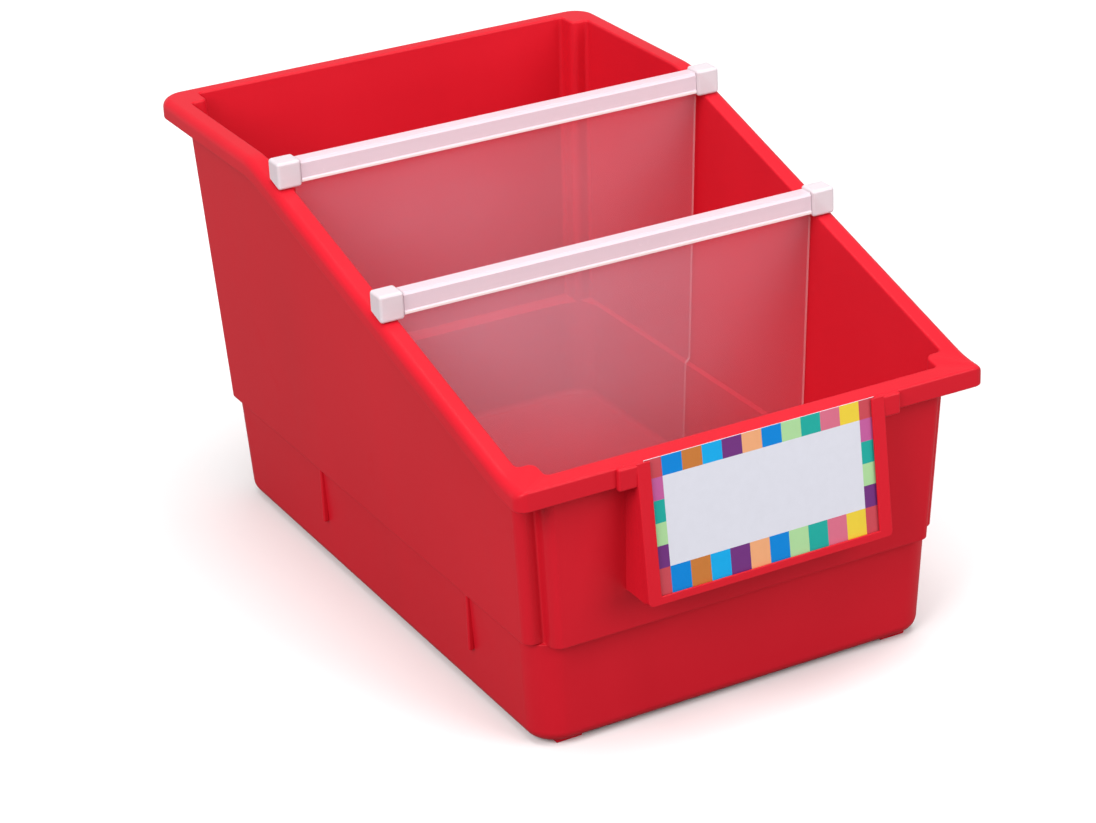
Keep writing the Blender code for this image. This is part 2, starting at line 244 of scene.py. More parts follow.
def paper_group() -> NodeTree:
    """Coated card stock: a fine mottle in the ink, and fibres as the height.

    Returns:
        The group.
    """
    board, given, result = open_group(
        "card_stock", [("Vector", "Vector", None), ("Ink", "Color", PLAIN_WHITE),
                       ("Mottle", "Float", 0.06)],
        [("Color", "Color"), ("Roughness", "Float"), ("Height", "Float")])
    point = given.outputs["Vector"]
    mottle = board.noise(point, 260.0, 4.0)
    swing = board.times(board.less(mottle, 0.5), given.outputs["Mottle"])
    shade = board.plus(1.0, swing)
    inked = board.add("VectorMath", {0: given.outputs["Ink"], "Scale": shade}, operation="SCALE")
    board.feed(result, {"Color": inked.outputs[0],
                        "Roughness": board.ramp(mottle, (0.3, 0.7), (0.36, 0.46)),
                        "Height": board.noise(point, 1500.0, 3.0)})
    return board.tree


class Marks(Enum):
    """The shared node groups."""

    MOULDING = "moulding_marks"
    HAZE = "plastic_haze"
    PAPER = "card_stock"

    def tree(self) -> NodeTree:
        """The group, made the first time it is asked for."""
        makers = {Marks.MOULDING: moulding_group, Marks.HAZE: haze_group, Marks.PAPER: paper_group}
        return bpy.data.node_groups.get(self.value) or makers[self]()


def start_material(name: str) -> tuple[Material, NodeBoard, Node, NodeSocket]:
    """A new material, its board, its shader and its Object coordinates."""
    made = bpy.data.materials.new(name)
    made.use_nodes = True
    board = NodeBoard(made.node_tree)
    return made, board, board.tree.nodes["Principled BSDF"], board.add("TexCoord").outputs["Object"]


@dataclass(frozen=True)
class MouldedPlastic:
    """Solid coloured, satin moulded plastic."""

    name: str
    deep: Triple
    bright: Triple
    gloss: float = 0.36
    spread: float = 0.05
    relief: float = 0.14
    grain_depth: float = 0.25 * MM
    shine: float = 0.16

    def make(self) -> Material:
        """Make the material: tone mixes two shades, and flow lines move the gloss.

        Returns:
            The material.
        """
        made, board, shader, where = start_material(self.name)
        links = {"Vector": where, "Gloss": self.gloss, "Gloss Spread": self.spread}
        marks = board.add("Group", links, node_tree=Marks.MOULDING.tree()).outputs
        board.feed(shader, {
            "Base Color": board.mix(marks["Tone"], self.deep, self.bright),
            "Roughness": marks["Roughness"],
            "IOR": PLASTIC_IOR,
            "Specular IOR Level": self.shine,
            "Normal": board.relief(marks["Height"], self.relief, self.grain_depth)})
        return made


@dataclass(frozen=True)
class HazyPlastic:
    """Clear plastic with a milky haze that hides part of what is behind it."""

    name: str
    haze_colour: Triple
    haze: float
    clouds: float = 0.06
    lines: float = 0.04
    scuffs: float = 0.10
    # Strength of the painted highlight, a soft patch of extra haze that stands in for a reflection.
    painted_highlight: float = 0.0
    gloss: float = 0.22
    gloss_spread: float = 0.08
    relief: float = 0.08
    line_depth: float = 0.2 * MM
    paler: float = 1.06

    def make(self) -> Material:
        """Make the material: the haze is its alpha, and makes the tint a little paler.

        Returns:
            The material.
        """
        made, board, shader, where = start_material(self.name)
        links = {"Vector": where, "Haze": self.haze, "Clouds": self.clouds, "Lines": self.lines,
                 "Scuffs": self.scuffs, "Painted Highlight": self.painted_highlight}
        marks = board.add("Group", links, node_tree=Marks.HAZE.tree()).outputs
        pale = [min(1.0, part * self.paler) for part in self.haze_colour]
        gloss = (self.gloss, self.gloss + self.gloss_spread)
        board.feed(shader, {
            "Base Color": board.mix(marks["Haze"], self.haze_colour, pale),
            "Alpha": marks["Haze"],
            "Roughness": board.ramp(marks["Height"], (0.6, 1.4), gloss),
            "IOR": PLASTIC_IOR,
            "Normal": board.relief(marks["Height"], self.relief, self.line_depth)})
        return made


@dataclass(frozen=True)
class PrintedCard:
    """Coated card that takes its ink from the mesh's print_colour attribute."""

    name: str
    mottle: float = 0.06
    shine: float = 0.18
    relief: float = 0.10
    fibre_depth: float = 0.1 * MM

    def make(self) -> Material:
        """Make the material: ink with a mottle, over fibres.

        Returns:
            The material.
        """
        made, board, shader, where = start_material(self.name)
        ink = board.add("Attribute", attribute_name="print_colour").outputs["Color"]
        marks = board.add("Group", {"Vector": where, "Ink": ink, "Mottle": self.mottle},
                          node_tree=Marks.PAPER.tree()).outputs
        board.feed(shader, {
            "Base Color": marks["Color"],
            "Roughness": marks["Roughness"],
            "Specular IOR Level": self.shine,
            "Normal": board.relief(marks["Height"], self.relief, self.fibre_depth)})
        return made


class Finishes:
    """The finishes of the bin, each made once."""

    def __init__(self) -> None:
        """Make every material."""
        self.red = MouldedPlastic("red_plastic", deep=(0.58, 0.0085, 0.020),
                                  bright=(0.64, 0.0105, 0.024)).make()
        # The sheet's painted highlight is a soft reflection painted into its haze.
        # The sheet's pink colour is painted red light thrown back from the tub; the sheet itself is
        # clear.
        self.sheet = HazyPlastic("clear_sheet", (0.92, 0.62, 0.76), haze=0.095, clouds=0.05,
                                 lines=0.02, scuffs=0.03, painted_highlight=0.045, relief=0.04).make()
        self.rail = HazyPlastic("clear_rail", (0.86, 0.73, 0.80), haze=0.64, gloss=0.30).make()
        self.cap = HazyPlastic("clear_cap", (0.73, 0.66, 0.70), haze=0.80, gloss=0.28).make()
        # The rail's lower beads get a milkier, paler copy of its plastic: a painted highlight along
        # them.
        self.bead = HazyPlastic("rail_bead_highlight", (0.88, 0.80, 0.79), haze=0.86, gloss=0.28).make()
        # The sheet's thin edges get a milkier, paler copy of its plastic: a painted highlight that
        # shows them as bright lines.
        self.edge = HazyPlastic("sheet_edge_highlight", (0.97, 0.88, 0.90), haze=0.22, clouds=0.03,
                                gloss=0.20).make()
        self.card = PrintedCard("printed_card").make()


# ---- Surfaces ----


@dataclass
class Surface:
    """Points, faces and the number of each face's material."""

    points: Array
    faces: list[Sequence[int]]
    looks: list[int] = field(default_factory=list)

    def __post_init__(self) -> None:
        """Give every face the first material where none is named."""
        if not self.looks:
            self.looks = [0] * len(self.faces)

    def placed(self, place: Matrix) -> "Surface":
        """The surface with its points carried by a matrix."""
        turn = np.array(place.to_3x3())
        return Surface(self.points @ turn.T + np.array(place.translation), self.faces, self.looks)


def joined(surfaces: Sequence[Surface]) -> Surface:
    """Put several surfaces together.

    Args:
        surfaces: the surfaces.

    Returns:
        One surface, in which each keeps its own points.
    """
    start, faces, looks = 0, [], []
    for one in surfaces:
        faces += [[i + start for i in face] for face in one.faces]
        looks += one.looks
        start += len(one.points)
    return Surface(chain([one.points for one in surfaces]), faces, looks)


def quarter(count: int) -> Array:
    """Rows of (1 - cos t, 1 - sin t), for count values of t from 0 to a quarter turn."""
    turn = np.linspace(0, math.pi / 2, count)
    return np.column_stack([1 - np.cos(turn), 1 - np.sin(turn)])


def loft(rows: Array, look: int = 0, end_look: int | None = None) -> Surface:
    """A skin over rows of points, with a flat face on the first and the last row.

    Row i and column j become point i * columns + j, and each quad joins two neighbours in each way.

    Args:
        rows: rows x columns x 3 points. Each row is a closed ring.
        look: the material number of the quads.
        end_look: the material number of the end faces, or None for the same.

    Returns:
        The surface.
    """
    count, width = rows.shape[:2]
    number = np.arange(count * width).reshape(count, width)
    ahead = np.roll(number, -1, axis=1)
    quads = np.stack([number[:-1], ahead[:-1], ahead[1:], number[1:]], axis=-1).reshape(-1, 4)
    faces = quads.tolist() + [number[0][::-1].tolist(), number[-1].tolist()]
    looks = [look] * len(quads) + [look if end_look is None else end_look] * 2
    return Surface(rows.reshape(-1, 3), faces, looks)


def rounded_outline(corners: Sequence[Pair], radius: float,
                    steps: int = 5) -> tuple[Array, Array]:
    """An outline with each corner replaced by an arc.

    The arc touches both sides at radius * tan(half the turn) from the corner. Its centre is on the
    inner side of a corner that turns left and on the outer side of one that turns right.

    Args:
        corners: corners in anticlockwise order.
        radius: arc radius, made smaller where a side is too short for it.
        steps: points on each arc.

    Returns:
        The points and the outward normals.
    """
    at = np.array(corners, dtype=float)
    ahead = np.roll(at, -1, axis=0) - at
    reach = np.linalg.norm(ahead, axis=1)
    away = ahead / reach[:, None]
    came = np.roll(away, 1, axis=0)
    room = np.minimum(reach, np.roll(reach, 1)) * 0.49
    cross = came[:, 0] * away[:, 1] - came[:, 1] * away[:, 0]
    turn = np.arctan2(cross, (came * away).sum(axis=1))
    half = np.tan(np.abs(turn) / 2)
    size = np.minimum(radius, room / np.maximum(half, 1e-6))
    first = np.stack([came[:, 1], -came[:, 0]], axis=1)
    side = np.sign(turn)
    centre = at - came * (size * half)[:, None] - first * (size * side)[:, None]
    angle = np.arctan2(first[:, 1], first[:, 0])[:, None] + turn[:, None] * np.linspace(0, 1, steps)
    normal = np.stack([np.cos(angle), np.sin(angle)], axis=-1)
    points = centre[:, None] + normal * (size * side)[:, None, None]
    return points.reshape(-1, 2), normal.reshape(-1, 2)


def rounded_bar(corners: Sequence[Pair], low: float, high: float, radius: float,
                steps: int = 5, look: int = 0, end_look: int | None = None) -> Surface:
    """An outline in the first two axes carried along the third, with every edge rounded.

    Near an end the outline moves in by radius * (1 - sin t) where it is radius * (1 - cos t) from
    the end plane, for t from nearly nothing up to a quarter turn.

    Args:
        corners: corners of the outline, anticlockwise.
        low: where the bar starts on the third axis.
        high: where it ends.
        radius: edge radius.
        steps: points on each arc.
        look: the material number of the sides.
        end_look: the material number of the two ends.

    Returns:
        The surface.
    """
    outline, normal = rounded_outline(corners, radius, steps)
    turn = np.linspace(0.12, math.pi / 2, steps)
    inset, depth = radius * (1 - np.sin(turn)), radius * (1 - np.cos(turn))
    inset = chain([inset, inset[::-1]])
    height = chain([low + depth, high - depth[::-1]])
    flat = outline - normal * inset[:, None, None]
    rise = np.broadcast_to(height[:, None, None], (len(height), len(outline), 1))
    return loft(chain([flat, rise], axis=-1), look, end_look)


def box_outline(low: Pair, high: Pair) -> list[Pair]:
    """The corners of a rectangle, anticlockwise."""
    return [(low[0], low[1]), (high[0], low[1]), (high[0], high[1]), (low[0], high[1])]


def span(across: int, near: float, far: float) -> Pair:
    """The low and the high end of a stretch on the left, at -1, or on the right, at 1."""
    return (near, far) if across > 0 else (-far, -near)


ALONG_X = Matrix(((0, 0, 1, 0), (1, 0, 0, 0), (0, 1, 0, 0), (0, 0, 0, 1)))
ALONG_Y = Matrix(((1, 0, 0, 0), (0, 0, -1, 0), (0, 1, 0, 0), (0, 0, 0, 1)))


def put(name: str, data: bpy.types.ID) -> Object:
    """Put a new object that shows some data in the scene."""
    made = bpy.data.objects.new(name, data)
    bpy.context.scene.collection.objects.link(made)
    return made


def add_piece(name: str, surface: Surface, looks: Sequence[Material], body: Body,
              node: str | None = None, sharp: float = 40.0) -> Object:
    """Put a surface in the scene as a piece that rides on a body.

    Args:
        name: the piece's name.
        surface: its surface, in the frame.
        looks: its materials.
        body: the body it moves with.
        node: the CAD node that it stands for, if it has one of its own.
        sharp: edges that turn further than this, in degrees, stay sharp.

    Returns:
        The object.
    """
    mesh = bpy.data.meshes.new(name)
    mesh.from_pydata(surface.points.tolist(), [], surface.faces)
    for look in looks:
        mesh.materials.append(look)
    mesh.polygons.foreach_set("material_index", np.array(surface.looks, dtype=np.int32))
    mesh.polygons.foreach_set("use_smooth", np.ones(len(surface.faces), dtype=bool))
    mesh.update()
    mesh.set_sharp_from_angle(angle=math.radians(sharp))
    piece = put(name, mesh)
    even = piece.modifiers.new("flat_faces_stay_flat", "WEIGHTED_NORMAL")
    even.keep_sharp = True
    even.weight = 60
    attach(piece, body.value)
    if node:
        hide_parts(node)
    log.info("%s: %d points, rides on %s", name, len(surface.points), body.value)
    return piece


# ---- Tub ----


@dataclass
class Tub:
    """The moulded tub, and the frame of sizes that the other pieces are placed by."""

    finishes: Finishes
    width: float = 222.25 * MM
    rim_back: float = 171.45 * MM
    rim_front: float = -162.95 * MM
    back_height: float = 191.5 * MM
    front_height: float = 127.0 * MM
    wall: float = 2.5 * MM
    draft: float = 0.05
    back_flat: float = 104.0 * MM
    front_flat: float = 11.5 * MM
    bend: float = 8.0 * MM
    overhang: float = 7.0 * MM
    lip_drop: float = 8.7 * MM
    side_roll: float = 4.0 * MM
    front_roll: float = 1.1 * MM
    inner_round: float = 1.1 * MM
    lip_round: float = 0.6 * MM
    rim_corner_front: float = 5.0 * MM
    rim_corner_back: float = 12.0 * MM
    step: float = 51.5 * MM
    step_rise: float = 1.0 * MM
    step_side: float = 1.5 * MM
    step_front: float = 5.0 * MM
    step_back: float = 7.0 * MM
    step_round: float = 0.8 * MM
    lower_corner: Pair = (11.0 * MM, 13.5 * MM)
    floor_fillet: float = 3.0 * MM
    foot_height: float = 1.5 * MM
    pillar_side: float = 8.0 * MM
    pillar_front: float = 9.0 * MM
    pillar_back: float = 11.0 * MM
    pillar_nose: float = 3.5 * MM
    pillar_root: float = 1.8 * MM
    foot_half: Pair = (6.0 * MM, 3.0 * MM)
    foot_inset: Pair = (15.0 * MM, 7.5 * MM)
    foot_round: float = 0.6 * MM
    rib_places: Pair = (122.0 * MM, 261.5 * MM)
    rib_height: float = 26.0 * MM
    rib_half: float = 1.0 * MM
    rib_proud: float = 1.1 * MM
    rib_round: float = 0.75 * MM
    root_points: int = 7
    nose_points: int = 9

    def __post_init__(self) -> None:
        """Work out the places that follow from the sizes."""
        self.flange = self.overhang + self.wall
        self.bend_back = self.rim_back - self.back_flat
        self.bend_front = self.rim_front + self.front_flat
        self.rake = (self.back_height - self.front_height) / (self.bend_back - self.bend_front)
        self.corner_points = 2 * self.root_points + self.nose_points
        bends = np.linspace(-1, 1, 9) * self.bend
        start = self.rim_front + self.flange + self.pillar_front + self.pillar_root
        slope = np.linspace(start, self.bend_back - self.bend, 14)[1:-1]
        level = np.linspace(self.bend_back + self.bend, self.rim_back - 25 * MM, 8)[1:]
        self.stations = chain([slope, self.bend_back + bends, level])

    def rim_height(self, y: Array | float) -> Array:
        """Height of the rim: level, a straight rake, level, with a parabola over each bend.

        Args:
            y: places along the rim.

        Returns:
            The height at each place.
        """
        def ramp(t: Array) -> Array:
            """Nothing below -bend, t above bend, and a parabola between them."""
            curve = np.clip(t + self.bend, 0, None) ** 2 / (4 * self.bend)
            return np.where(t > self.bend, t, curve)
        rise = ramp(y - self.bend_front) - ramp(y - self.bend_back)
        return self.front_height + self.rake * rise

    def inner_side(self, z: Array | float) -> Array | float:
        """Half the width between the upper walls' inner faces at height z."""
        return self.width / 2 - self.flange - self.draft * (self.back_height - z)

    def inner_front(self, z: float) -> float:
        """Y of the upper front wall's inner face at height z."""
        return self.rim_front + self.flange + self.draft * (self.front_height - z)

    def inner_back(self, z: float) -> float:
        """Y of the upper back wall's inner face at height z."""
        return self.rim_back - self.flange - self.draft * (self.back_height - z)

    # A corner is three rows: distance in from the side wall's inner face, distance in from the end
    # wall's inner face, and how far round the corner the point is, from 0 at the side to 1.

    def pillar(self, depth: float, out: float) -> Array:
        """A corner folded in to a pillar: a root arc, a nose arc the other way and a root arc.

        Args:
            depth: how far the pillar stands in from the end wall.
            out: how far outside the inner face this contour runs.

        Returns:
            The corner.
        """
        root = np.linspace(0, math.pi / 2, self.root_points)
        nose = np.linspace(0, math.pi / 2, self.nose_points)
        wide, tight = self.pillar_root + out, self.pillar_nose - out
        at_side, at_end = self.pillar_side - self.pillar_nose, depth - self.pillar_nose
        cosine, sine = (self.pillar_root - wide * part for part in (np.cos(root), np.sin(root)))
        side = chain([cosine, at_side + tight * np.sin(nose), self.pillar_side + cosine])
        end = chain([depth + sine, at_end + tight * np.cos(nose), sine])
        return np.stack([side, end, np.linspace(0, 1, self.corner_points)])

    def round_corner(self, side: float, end: float, side_radius: float, end_radius: float,
                     along: Array | None = None) -> Array:
        """A quarter ellipse, after some points on the side.

        Args:
            side: how far in the side runs.
            end: how far in the end runs.
            side_radius: radius across the side.
            end_radius: radius across the end.
            along: distances in from the end for points on the side before the arc.

        Returns:
            The corner.
        """
        along = np.zeros(0) if along is None else along
        across, down = quarter(self.corner_points - len(along)).T
        sides = chain([np.full(len(along), side), side + side_radius * across])
        ends = chain([along, end + end_radius * down])
        return np.stack([sides, ends, chain([np.zeros(len(along)), (1 - down) ** 2])])

    def contour(self, level: Callable | float, side: float, corners: tuple[Array, Array],
                drops: Pair = (0.0, 0.0), exact: bool = False) -> Array:
        """One closed contour, anticlockwise from above.

        Args:
            level: the height that the walls' draft is taken at, or the rim's height function.
            side: how far in from the upper side walls' inner faces the sides run.
            corners: the front and the back corner.
            drops: how far below level the sides and the front run.
            exact: whether the side points stand where the rim bends.

        Returns:
            The points.
        """
        height = level if callable(level) else lambda y: np.full_like(y, level)
        front = self.inner_front(float(height(np.array(self.rim_front))))
        back = self.inner_back(float(height(np.array(self.rim_back))))
        near, far = corners
        start, stop = front + near[1][0], back - far[1][0]
        places = self.stations
        if not exact:
            share = (places - self.rim_front) / (self.rim_back - self.rim_front)
            places = start + share * (stop - start)
        y = chain([front + near[1][::-1], places, back - far[1]])
        inwards = chain([near[0][::-1], np.full(len(places), side), far[0]])
        ended = chain([near[2][::-1], np.zeros(len(places)), far[2] * 0])
        z = height(y)
        drop = drops[0] + (drops[1] - drops[0]) * ended
        right = np.stack([self.inner_side(z) - inwards, y, z - drop], axis=1)
        return chain([right, right[::-1] * (-1, 1, 1)])

    def lower(self, z: float, out: float, tuck: float = 0.0) -> Array:
        """A contour of the lower body.

        Args:
            z: its height.
            out: how far outside the inner faces it runs.
            tuck: how far in from there it is drawn, for a fillet.

        Returns:
            The points.
        """
        inset = tuck - out
        corners = tuple(
            self.round_corner(self.step_side + inset, end + inset, radius - inset, radius - inset)
            for end, radius in zip((self.step_front, self.step_back), self.lower_corner))
        return self.contour(z, self.step_side + inset, corners)

    def upper(self, level: Callable | float, out: float, drop: float = 0.0) -> Array:
        """A contour of the upper body with its corner pillars."""
        corners = self.pillar(self.pillar_front, out), self.pillar(self.pillar_back, out)
        return self.contour(level, -out, corners, (drop, drop), callable(level))

    def rim(self, tuck: Pair, drops: Pair) -> Array:
        """A contour of the rim.

        Args:
            tuck: how far in from the lip's outer face it runs, at the sides and at the front.
            drops: how far below the rim's top it runs, at the sides and at the front.

        Returns:
            The points.
        """
        side, front = tuck
        along = np.linspace(19.7, 6.0, 9) * MM - self.flange
        radius = self.rim_corner_front
        near = self.round_corner(side - self.flange, front - self.flange, radius - side,
                                 radius - front, along)
        radius = self.rim_corner_back - side
        far = self.round_corner(side - self.flange, side - self.flange, radius, radius)
        return self.contour(self.rim_height, side - self.flange, (near, far), drops, True)

    def lip(self, tuck: float, drop: float) -> Array:
        """A contour of the lip, the same all round."""
        return self.rim((tuck, tuck), (drop, drop))

    def contours(self) -> Array:
        """Every contour, from the inside floor up, over the rim and down to the underside.

        Returns:
            contours x points x 3 places.
        """
        roll, front, inner = self.side_roll, self.front_roll, self.inner_round
        wall, top, fillet, small = self.wall, self.rim_height, self.floor_fillet, self.lip_round
        floor, rise = self.foot_height + wall, self.step + self.step_rise
        low, radius = self.step - wall, fillet + wall
        rows = [self.lower(floor + fillet * a, 0.0, fillet * b) for a, b in quarter(7)]
        rows += self.step_rows(0.0, self.step, rise)
        rows += self.wall_rows(0.0, rise + 2 * self.step_round, inner)
        rows += [self.upper(top, inner * a, inner * b) for a, b in quarter(6)]
        rows += [self.rim((roll * b, front * b), (roll * a, front * a)) for a, b in quarter(8)]
        rows += [self.lip(small * a, self.lip_drop - small * b) for a, b in quarter(4)]
        rows += [self.lip(wall - small * a, self.lip_drop - small * b) for a, b in quarter(4)[::-1]]
        rows += [self.lip(wall + small * a, wall + small * b) for a, b in quarter(4)]
        rows += [self.upper(top, wall + small * a, wall + small * b) for a, b in quarter(4)[::-1]]
        rows += self.wall_rows(wall, low + 2 * self.step_round, wall + small)[::-1]
        rows += self.step_rows(wall, low - self.step_rise * 0.4, low)[::-1]
        rows += [self.lower(self.foot_height + radius * a, wall, radius * b)
                 for a, b in quarter(8)[::-1]]
        return np.array(rows)

    def step_rows(self, out: float, low: float, high: float) -> list[Array]:
        """The step from the lower to the upper body, rounded where it meets each wall.

        The plan goes from the lower contour to the upper one by share s, and the height from low to
        high by a smooth curve of s, with a short upright stretch at each end.

        Args:
            out: how far outside the inner faces it runs.
            low: its lowest height.
            high: its highest.

        Returns:
            The contours.
        """
        share = np.array([0.0, 0.0, 0.03, 0.12, 0.3, 0.7, 0.88, 0.97, 1.0, 1.0])
        lift = np.array([-1.0, -0.5, -0.15, 0.0, 0.25, 0.75, 1.0, 1.0, 1.0, 1.0])
        extra = np.array([0.0, 0.0, 0.0, 0.0, 0.0, 0.0, 0.0, 0.15, 0.5, 1.0])
        rows = []
        for s, part, more in zip(share, lift, extra):
            z = low + (high - low) * max(part, 0) + self.step_round * (min(part, 0) + more)
            below, above = self.lower(z, out), self.upper(z, out)
            row = below * (1 - s) + above * s
            row[:, 2] = z
            rows.append(row)
        return rows

    def wall_rows(self, out: float, low: float, drop: float, count: int = 7) -> list[Array]:
        """Contours spread evenly up the upper wall, from height low to just under the rim."""
        bottom, top = self.upper(low, out), self.upper(self.rim_height, out, drop)
        return [bottom + (top - bottom) * s for s in np.linspace(0, 1, count)[:-1]]

    def lower_face(self, z: float) -> Triple:
        """The lower body's outer faces at height z: half width, front and back."""
        return (self.inner_side(z) - self.step_side + self.wall,
                self.inner_front(z) + self.step_front - self.wall,
                self.inner_back(z) - self.step_back + self.wall)

    def ribs_and_feet(self) -> Surface:
        """Upright ribs on the lower side walls and a nub near each corner of the underside.

        Returns:
            The surface.
        """
        parts = []
        side, front, back = self.lower_face(self.foot_height)
        face = self.lower_face(self.step)[0]
        (wide, deep), (in_side, in_end) = self.foot_half, self.foot_inset
        for across in (-1, 1):
            x = across * (side - in_side)
            for y in (front + in_end, back - in_end):
                outline = box_outline((x - wide, y - deep), (x + wide, y + deep))
                parts.append(rounded_bar(outline, 0.0, self.foot_height + self.wall / 2,
                                         self.foot_round))
            for place in self.rib_places:
                y = self.rim_back - place
                low, high = span(across, face - 0.6 * self.wall, face + self.rib_proud)
                outline = box_outline((low, y - self.rib_half), (high, y + self.rib_half))
                parts.append(rounded_bar(outline, self.step - self.wall - self.rib_height,
                                         self.step - self.wall / 2, self.rib_round))
        return joined(parts)

    def build(self) -> None:
        """Make the shell, the ribs and the feet."""
        skin, red = loft(self.contours()), [self.finishes.red]
        skin.faces = [list(face)[::-1] for face in skin.faces]
        add_piece("tub_shell", skin, red, Body.TUB, "tub")
        add_piece("tub_ribs_and_feet", self.ribs_and_feet(), red, Body.TUB)


# ---- Label holder and card ----


class Ink(Enum):
    """Inks of the card's border, as linear light."""

    PAPER = (0.64, 0.64, 0.71)
    BLUE = (0.0, 0.205, 0.60)
    ORANGE = (0.50, 0.17, 0.035)
    CYAN = (0.005, 0.35, 0.71)
    PURPLE = (0.145, 0.028, 0.180)
    PEACH = (0.75, 0.35, 0.17)
    GREEN = (0.37, 0.61, 0.30)
    TEAL = (0.012, 0.35, 0.30)
    PINK = (0.61, 0.14, 0.22)
    YELLOW = (0.75, 0.55, 0.045)
    RED = (0.52, 0.062, 0.082)
    MAUVE = (0.48, 0.10, 0.30)


BORDER_TOP = (Ink.RED, Ink.BLUE, Ink.ORANGE, Ink.CYAN, Ink.PURPLE, Ink.PEACH, Ink.BLUE, Ink.GREEN,
              Ink.TEAL, Ink.PINK, Ink.YELLOW, Ink.RED)
BORDER_SIDE = (Ink.PURPLE, Ink.GREEN, Ink.TEAL, Ink.MAUVE)


